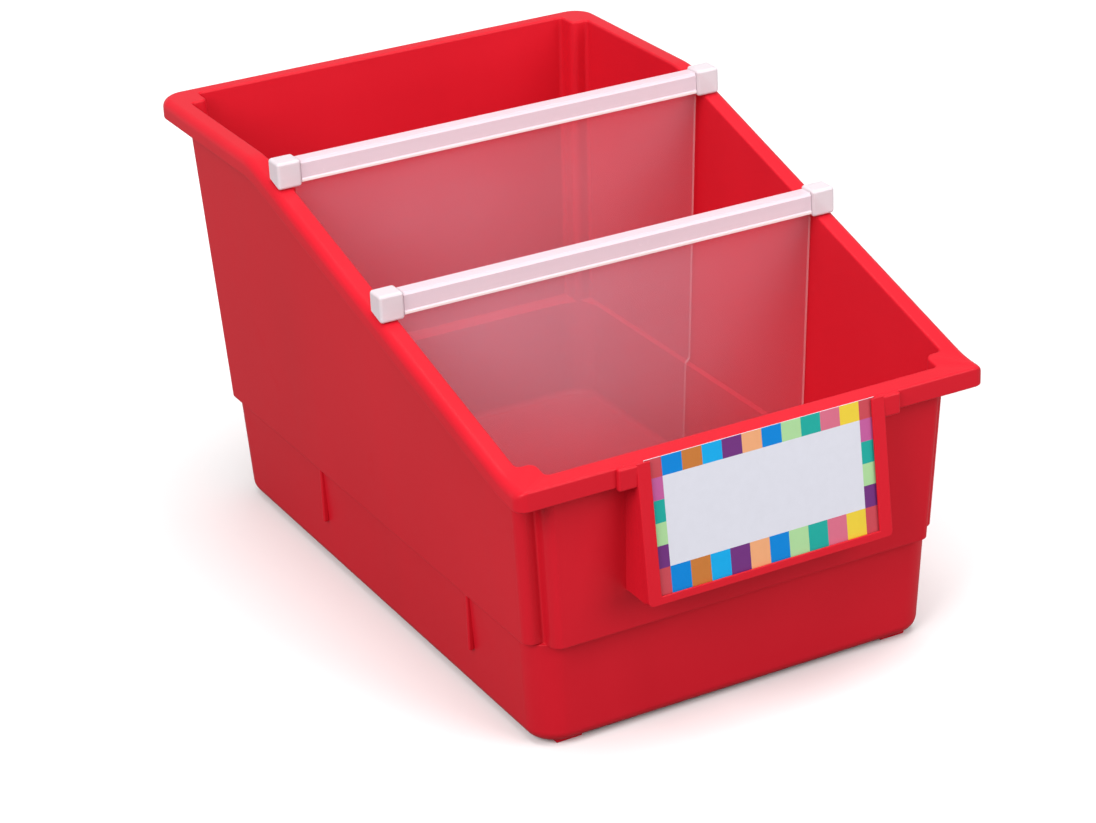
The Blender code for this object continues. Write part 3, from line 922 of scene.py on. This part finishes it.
@dataclass
class LabelHolder:
    """The card pocket on the front, which leans out towards its foot, and the card in it."""

    tub: Tub
    width: float = 114.0 * MM
    height: float = 58.0 * MM
    crown: float = 1.6 * MM
    reach: float = 8.5 * MM
    top_drop: float = 2.0 * MM
    plate: float = 2.2 * MM
    lip: float = 1.0 * MM
    cover: float = 2.0 * MM
    ledge: float = 1.3 * MM
    card_width: float = 106.0 * MM
    card_height: float = 58.4 * MM
    card_thickness: float = 0.5 * MM
    gap: float = 0.3 * MM
    ear_width: float = 8.0 * MM
    corner: float = 2.0 * MM
    section_round: float = 0.35 * MM
    plate_inset: float = 0.4 * MM
    cheek: float = 2.2 * MM
    ear_reach: Pair = (2.0 * MM, 1.2 * MM)
    ear_height: float = 9.6 * MM
    ear_drop: float = 0.3 * MM
    ear_lap: float = 3.4 * MM
    ear_round: float = 1.0 * MM
    square: float = 9.1 * MM
    border: float = 12.7 * MM
    side_square: float = 9.4 * MM

    def __post_init__(self) -> None:
        """Work out the channel, the lean and the axes: X across, Y up the plate, Z out of it."""
        tub = self.tub
        self.channel = self.card_thickness + 2 * self.gap
        self.front = self.channel + self.lip
        self.side_wall = self.width / 2 - self.card_width / 2 - self.gap
        lean = math.asin((self.reach - self.front) / self.height)
        up = Vector((0, math.sin(lean), math.cos(lean)))
        out = Vector((0, -math.cos(lean), math.sin(lean)))
        foot = Vector((0, tub.rim_front, tub.front_height - self.top_drop)) - up * self.height
        self.axes = Matrix(((1, 0, 0, 0), (0, up.y, out.y, foot.y), (0, up.z, out.z, foot.z),
                            (0, 0, 0, 1)))
        self.foot = foot

    def frame(self) -> Surface:
        """The channel round three sides of the card.

        Its section is an upright with a lip at the front. The section goes down the left side,
        round a corner of radius r, along the foot and up the right side. A point that lies a in
        from the outer edge goes round the corner on radius r - a.

        Returns:
            The surface, in the holder's own axes.
        """
        side_lip = self.side_wall + self.gap + self.cover
        section = [(0, -self.plate), (self.side_wall, -self.plate), (self.side_wall, self.channel),
                   (side_lip, self.channel), (side_lip, self.front), (0, self.front)]
        points, _ = rounded_outline(section, self.section_round, 4)
        depth, out = points.T
        low = np.interp(depth, (0, self.side_wall, side_lip),
                        (0, self.ledge, self.ledge + self.cover))
        left = depth - self.width / 2
        radius = np.maximum(self.corner - depth, 0.02 * MM)
        path = [np.column_stack([left, np.full(len(depth), self.height + self.crown), out])]
        path += [np.column_stack([left + radius * a, low + radius * b, out]) for a, b in quarter(6)]
        rows = np.array(path)
        return loft(chain([rows, rows[::-1] * (-1, 1, 1)]))

    def surface(self) -> Surface:
        """Frame, plate, cheeks back to the wall, and the ears that blend it into the rim.

        Returns:
            The surface.
        """
        tub, half, seam = self.tub, self.width / 2, self.plate_inset
        side = half - self.side_wall + seam
        plate = rounded_bar(box_outline((-side, self.ledge - seam), (side, self.height - 0.1 * MM)),
                            0.05 * MM - self.plate, 0.0, 0.02 * MM, 2)
        parts = [part.placed(self.axes) for part in (self.frame(), plate)]
        under, over = tub.front_height - tub.wall / 2, self.foot.z + 0.4 * MM
        cheek = [(self.foot.y + self.plate / 2, over),
                 (tub.inner_front(self.foot.z) - tub.wall / 2, over),
                 (tub.inner_front(under) - tub.wall / 2, under),
                 (tub.rim_front + self.plate / 2, under)]
        for x in (-half, half - self.cheek):
            bar = rounded_bar(cheek, x + 0.1 * MM, x + self.cheek - 0.1 * MM, 0.3 * MM, 3)
            parts.append(bar.placed(ALONG_X))
        top, (out, back) = tub.front_height - self.ear_drop, self.ear_reach
        ear = box_outline((tub.rim_front - out, top - self.ear_height), (tub.rim_front + back, top))
        for across in (-1, 1):
            low, high = span(across, half - self.ear_lap, half + self.ear_width)
            parts.append(rounded_bar(ear, low, high, self.ear_round).placed(ALONG_X))
        return joined(parts)

    def card(self) -> tuple[Surface, Array]:
        """The card: a grid of printed squares in front, plain paper behind and on its edges.

        Returns:
            The surface, and one colour for each face.
        """
        half, squares, rows = self.card_width / 2, len(BORDER_TOP), len(BORDER_SIDE)
        inner = (np.arange(1, squares) - squares / 2) * self.square
        xs = chain([[-half], inner, [half]])
        steps = self.border + np.arange(rows + 1) * self.side_square
        ys = self.ledge + self.gap + chain([[0], steps, [self.card_height]])
        grid_x, grid_y = np.meshgrid(xs, ys)
        lift = (self.gap + self.card_thickness, self.gap)
        sheets = [np.stack([grid_x, grid_y, np.full_like(grid_x, z)], axis=-1) for z in lift]
        count = grid_x.size
        number = np.arange(count).reshape(grid_x.shape)
        quads = np.stack([number[:-1, :-1], number[:-1, 1:], number[1:, 1:], number[1:, :-1]],
                         axis=-1).reshape(-1, 4)
        inks = list(BORDER_TOP)
        for side in BORDER_SIDE:
            inks += [side, *[Ink.PAPER] * (squares - 2), side]
        inks += BORDER_TOP
        ring = chain([number[0, :-1], number[:-1, -1], number[-1, :0:-1], number[:0:-1, 0]])
        ahead = np.roll(ring, -1)
        edges = np.stack([ring, ring + count, ahead + count, ahead], axis=-1)
        faces = chain([quads, quads[:, ::-1] + count, edges])
        inks += [Ink.PAPER] * (len(quads) + len(edges))
        points = chain([sheet.reshape(-1, 3) for sheet in sheets])
        surface = Surface(points, faces.tolist()).placed(self.axes)
        return surface, np.array([ink.value for ink in inks])

    def build(self) -> None:
        """Make the holder, which is part of the tub, and the card."""
        looks = self.tub.finishes
        add_piece("tub_label_holder", self.surface(), [looks.red], Body.TUB)
        surface, colours = self.card()
        piece = add_piece("label_card_print", surface, [looks.card], Body.CARD,
                          "label_card", 20)
        print_colour = piece.data.color_attributes.new("print_colour", "FLOAT_COLOR", "CORNER")
        sides = [len(face) for face in surface.faces]
        rgba = np.column_stack([colours, np.ones(len(colours))])
        print_colour.data.foreach_set("color", np.repeat(rgba, sides, axis=0).ravel())


# ---- Dividers ----


@dataclass
class Divider:
    """A clear sheet that hangs from a channel rail, with an end cap on each side rim."""

    tub: Tub
    name: str
    body: Body
    from_back: float
    low_rim: float
    thickness: float = 1.5 * MM
    rail_depth: float = 8.5 * MM
    rail_height: float = 9.5 * MM
    rail_above: float = 0.8 * MM
    slot_depth: float = 7.2 * MM
    cap_length: float = 11.0 * MM
    cap_depth: float = 10.0 * MM
    gap: float = 0.3 * MM
    cap_inset: float = 1.0 * MM
    cap_rise: float = 1.0 * MM
    cap_round: float = 1.4 * MM
    tongue_reach: Pair = (6.0 * MM, 3.0 * MM)
    tongue_round: float = 0.3 * MM
    sheet_gap: float = 1.0 * MM
    sheet_round: float = 0.25 * MM
    foot_gap: float = 4.0 * MM
    foot_round: float = 6.0 * MM
    step_gap: float = 3.0 * MM
    waist_inset: float = 2.0 * MM
    shoulder_drop: float = 0.6 * MM
    tab_inset: float = 9.0 * MM
    bead: float = 1.3 * MM
    bead_proud: float = 0.45 * MM
    bead_slope: float = 0.4 * MM
    crest: Pair = (0.9 * MM, 1.3 * MM)
    rail_round: float = 0.35 * MM

    def __post_init__(self) -> None:
        """Work out where the divider stands."""
        tub = self.tub
        self.y = tub.rim_back - self.from_back
        self.rim = float(tub.rim_height(self.y))
        self.rail_low = self.rim + self.rail_above
        self.rail_top = self.rail_low + self.rail_height
        self.slot_top = self.rail_low + self.slot_depth
        self.cap_end = (tub.width / 2 - tub.draft * (tub.back_height - self.low_rim)
                        - self.cap_inset)
        self.cap_inner = self.cap_end - self.cap_length
        self.half = tub.inner_side(self.low_rim) - self.sheet_gap
        self.foot = tub.foot_height + tub.wall + self.foot_gap
        self.waist = tub.step + self.step_gap

    def sheet(self) -> Surface:
        """The sheet: its sides follow the walls' draft, with a waist above the step.

        Returns:
            The surface.
        """
        shoulder, inset, radius = self.rim - self.shoulder_drop, self.waist_inset, self.foot_round
        tab = self.half - self.tab_inset
        above, below, narrow = (self.half - self.tub.draft * (shoulder - z)
                                for z in (self.waist + inset, self.waist, self.foot))
        right = [(narrow - inset - radius * b, self.foot + radius * a) for a, b in quarter(8)]
        right += [(below - inset, self.waist), (above, self.waist + inset), (self.half, shoulder),
                  (tab, shoulder), (tab, self.slot_top - self.gap)]
        outline = right + [(-x, z) for x, z in reversed(right)]
        front, back = -self.y - self.thickness / 2, -self.y + self.thickness / 2
        # The sheet's thin edges take the second material, a painted highlight; its faces take the
        # first.
        return rounded_bar(outline, front, back, self.sheet_round, 3, 1, 0).placed(ALONG_Y)

    def rail(self) -> Surface:
        """The rail: a channel open below, with a bead along each lower edge and a sloped crest.

        Returns:
            The surface, with the beads in the second material, a painted highlight.
        """
        half, slot = self.rail_depth / 2, self.thickness / 2 + self.gap
        side, low, top = half - self.bead_proud, self.rail_low, self.rail_top
        inset, drop = self.crest
        beaded, waisted = low + self.bead, low + self.bead + self.bead_slope
        right = [(slot, low), (half, low), (half, beaded), (side, waisted), (side, top - drop),
                 (side - inset, top)]
        left = [(-y, z) for y, z in reversed(right)]
        section = right + left + [(-slot, self.slot_top), (slot, self.slot_top)]
        points, _ = rounded_outline(section, self.rail_round, 4)
        reach = self.cap_inner - self.gap
        y, z = points[:, 0] + self.y, points[:, 1]
        surface = loft(np.array([np.column_stack([np.full(len(y), x), y, z])
                                 for x in np.linspace(-reach, reach, 9)]))
        height = surface.points[:, 2]
        # Faces below the top of the bead take the second material, the painted highlight.
        surface.looks = [int(np.mean(height[list(face)]) < beaded) for face in surface.faces[:-2]]
        surface.looks += [0, 0]
        return surface

    def cap(self, across: int) -> Surface:
        """An end cap: it follows the rim's slope below and carries a tongue in the rail's slot.

        Args:
            across: -1 for the left one, 1 for the right one.

        Returns:
            The surface.
        """
        tub, half, thin = self.tub, self.cap_depth / 2, self.thickness / 2
        behind, ahead = (float(tub.rim_height(self.y + d)) + self.gap for d in (half, -half))
        top = self.rail_top + self.cap_rise
        profile = [(self.y - half, ahead), (self.y + half, behind), (self.y + half, top),
                   (self.y - half, top)]
        body = rounded_bar(profile, *span(across, self.cap_inner, self.cap_end), self.cap_round, 6)
        tongue = box_outline((self.y - thin, self.rail_low + self.gap),
                             (self.y + thin, self.slot_top - self.gap))
        out, back = self.tongue_reach
        low, high = span(across, self.cap_inner - out, self.cap_inner + back)
        return joined([body, rounded_bar(tongue, low, high, self.tongue_round, 3)]).placed(ALONG_X)

    def build(self) -> None:
        """Make the sheet, the rail and the two caps."""
        looks, name = self.tub.finishes, self.name
        add_piece(f"{name}_sheet", self.sheet(), [looks.sheet, looks.edge], self.body,
                  f"{name}_divider_sheet")
        add_piece(f"{name}_rail", self.rail(), [looks.rail, looks.bead], self.body,
                  f"{name}_divider_rail")
        for side, across in (("left", -1), ("right", 1)):
            add_piece(f"{name}_{side}_cap", self.cap(across), [looks.cap], self.body,
                      f"{name}_{side}_end_cap")


# ---- Studio ----


@dataclass(frozen=True)
class Lamp:
    """A soft rectangular light that faces the bin."""

    name: str
    place: Triple
    size: Pair
    power: float

    def hang(self, towards: Vector) -> None:
        """Put the light up.

        Args:
            towards: the point that it faces.
        """
        data = bpy.data.lights.new(self.name, "AREA")
        data.shape = "RECTANGLE"
        data.size, data.size_y = self.size
        data.energy = self.power
        lamp = put(self.name, data)
        lamp.location = self.place
        lamp.rotation_euler = (lamp.location - towards).to_track_quat("Z", "Y").to_euler()


@dataclass
class Studio:
    """Pale floor, soft lights and the camera."""

    azimuth: float = -27.92
    elevation: float = 24.06
    roll: float = -2.47
    distance: float = 1.4173
    sensor: float = 36.0
    lens: float = 106.4611
    shift: Pair = (-0.0084215, -0.0387774)
    target: Triple = (0.0, 0.00425, 0.090)
    middle: Triple = (0.0, 0.0, 0.10)
    surround_seen: float = 1.02
    surround_lit: float = 0.46
    floor_half: float = 8.0
    floor_seen: float = 0.95
    floor_lit: float = 0.20
    floor_mottle: float = 0.03
    glow_from: Pair = (0.45, 2.4)
    glow: float = 0.6

    def camera(self) -> None:
        """The camera: it looks along its axis at the target, turned a little about that axis."""
        around, above, tilt = (math.radians(a) for a in (self.azimuth, self.elevation, self.roll))
        back = Vector((math.sin(around) * math.cos(above), -math.cos(around) * math.cos(above),
                       math.sin(above)))
        right = Vector((0, 0, 1)).cross(back).normalized()
        up = back.cross(right)
        level = math.cos(tilt) * right + math.sin(tilt) * up
        upright = math.cos(tilt) * up - math.sin(tilt) * right
        data = bpy.data.cameras.new("camera")
        data.sensor_width, data.lens = self.sensor, self.lens
        data.shift_x, data.shift_y = self.shift
        data.clip_start, data.clip_end = 0.05, 50.0
        eye = put("camera", data)
        place = Vector(self.target) + back * self.distance
        turn = Matrix((level, upright, back)).transposed().to_4x4()
        eye.matrix_world = Matrix.Translation(place) @ turn
        bpy.context.scene.camera = eye

    def floor(self) -> None:
        """A wide pale floor with a faint mottle, which glows a little far from the bin."""
        mesh = bpy.data.meshes.new("floor")
        half = self.floor_half
        corners = [(x, y, 0) for x, y in box_outline((-half, -half), (half, half))]
        mesh.from_pydata(corners, [], [(0, 1, 2, 3)])
        made, board, shader, where = start_material("pale_floor")
        seen = board.ramp(board.add("LightPath").outputs["Is Camera Ray"],
                          high=(self.floor_lit, self.floor_seen))
        mottle = board.times(board.noise(where, 1.5, 2.0), self.floor_mottle)
        far = board.add("VectorMath", {0: where}, operation="LENGTH").outputs["Value"]
        board.feed(shader, {
            "Base Color": board.plus(seen, mottle),
            "Roughness": 0.7,
            "Emission Color": PLAIN_WHITE,
            "Emission Strength": board.ramp(far, self.glow_from, (0.0, self.glow))})
        mesh.materials.append(made)
        put("floor", mesh)

    def lights(self) -> None:
        """A white surround and three soft lights."""
        world = bpy.data.worlds.new("surround")
        world.use_nodes = True
        board = NodeBoard(world.node_tree)
        strength = board.ramp(board.add("LightPath").outputs["Is Camera Ray"],
                              high=(self.surround_lit, self.surround_seen))
        links = {"Color": PLAIN_WHITE, "Strength": strength}
        board.feed(world.node_tree.nodes["Background"], links)
        bpy.context.scene.world = world
        for lamp in (Lamp("key", (-1.7, -0.8, 1.4), (1.3, 1.2), 35.0),
                     Lamp("fill", (0.9, -1.6, 1.0), (1.2, 1.2), 18.0),
                     Lamp("top", (0.1, -0.1, 1.9), (1.6, 1.4), 24.0)):
            lamp.hang(Vector(self.middle))

    def build(self) -> None:
        """Make the camera, the floor and the lights."""
        self.camera()
        self.floor()
        self.lights()
        bpy.context.scene.view_settings.view_transform = "Standard"


REAR_PLACE = 124.2 * MM
FRONT_PLACE = 218.0 * MM


def main() -> None:
    """Build the bin, piece by piece, and the studio around it."""
    logging.basicConfig(level=logging.INFO, format="%(name)s: %(message)s")
    tub = Tub(Finishes())
    tub.build()
    LabelHolder(tub).build()
    low_rim = float(tub.rim_height(tub.rim_back - FRONT_PLACE))
    Divider(tub, "rear", Body.REAR, REAR_PLACE, low_rim).build()
    Divider(tub, "front", Body.FRONT, FRONT_PLACE, low_rim).build()
    Studio().build()


if __name__ == "__main__":
    main()
